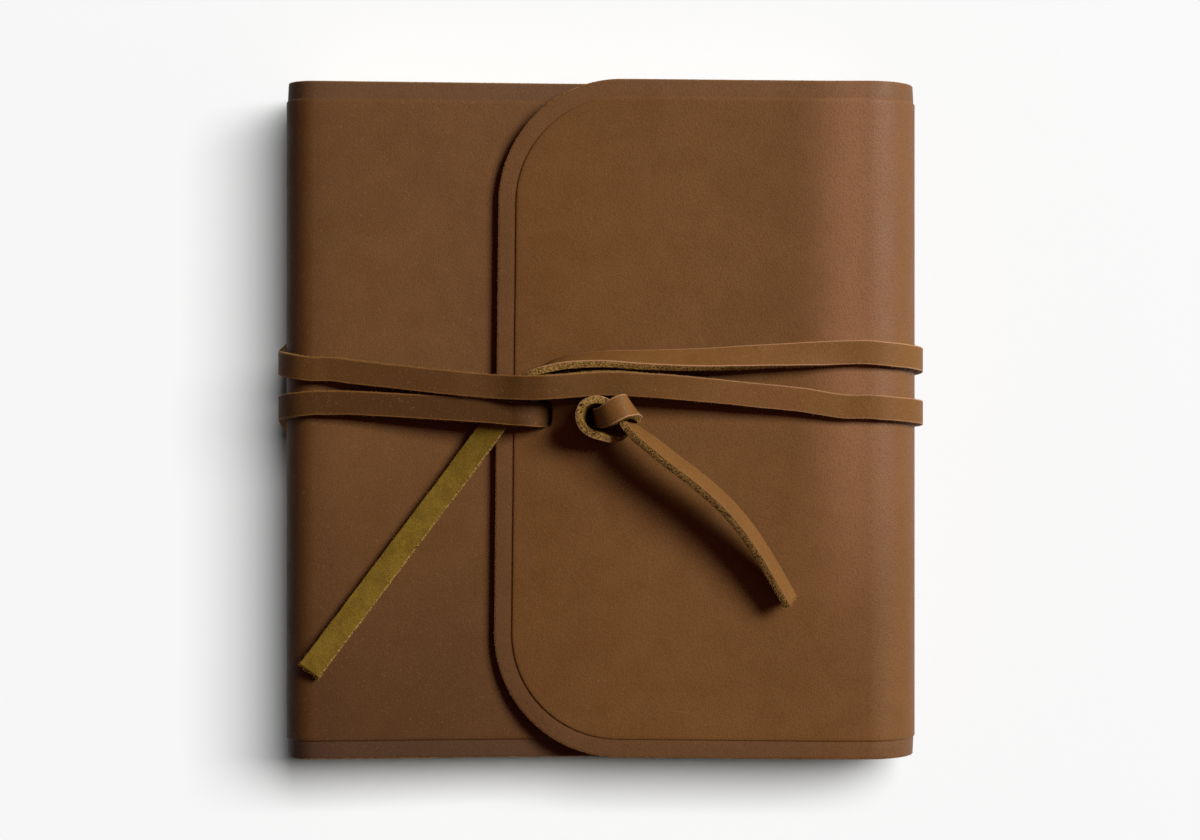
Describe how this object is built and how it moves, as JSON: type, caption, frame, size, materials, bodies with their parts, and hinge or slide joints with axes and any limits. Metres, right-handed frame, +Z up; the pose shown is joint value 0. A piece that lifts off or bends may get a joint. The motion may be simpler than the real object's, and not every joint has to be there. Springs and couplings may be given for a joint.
{
  "type": "leather journal",
  "caption": "Closed wrap-cover leather book with a rounded front flap, creased borders, a sewn page block and a long flat leather strap wound round it, twisted and knotted shut.",
  "frame": {"origin": "under the middle of the closed book, on the surface that it lies on", "axes": "+X from the spine to the fore-edge, +Y from the tail to the head of the book, +Z up from the back cover to the front"},
  "size_m": [0.193, 0.2, 0.0496],
  "materials": {
    "cover_leather": "waxed, semi-gloss on the worn round edges",
    "strap_leather": "smooth grain side, rough tan flesh side and cut edges",
    "page_paper": "matte, trimmed edges",
    "endpaper": "matte",
    "lining_cloth": "open weave, matte",
    "band_thread": "matte thread"
  },
  "bodies": {
    "root": {"leather_cover": "cover_leather", "closure_strap": "strap_leather", "page_block": "page_paper", "front_endpaper": "endpaper", "back_endpaper": "endpaper", "spine_lining": "lining_cloth", "head_band": "band_thread", "tail_band": "band_thread"}
  },
  "joints": []
}
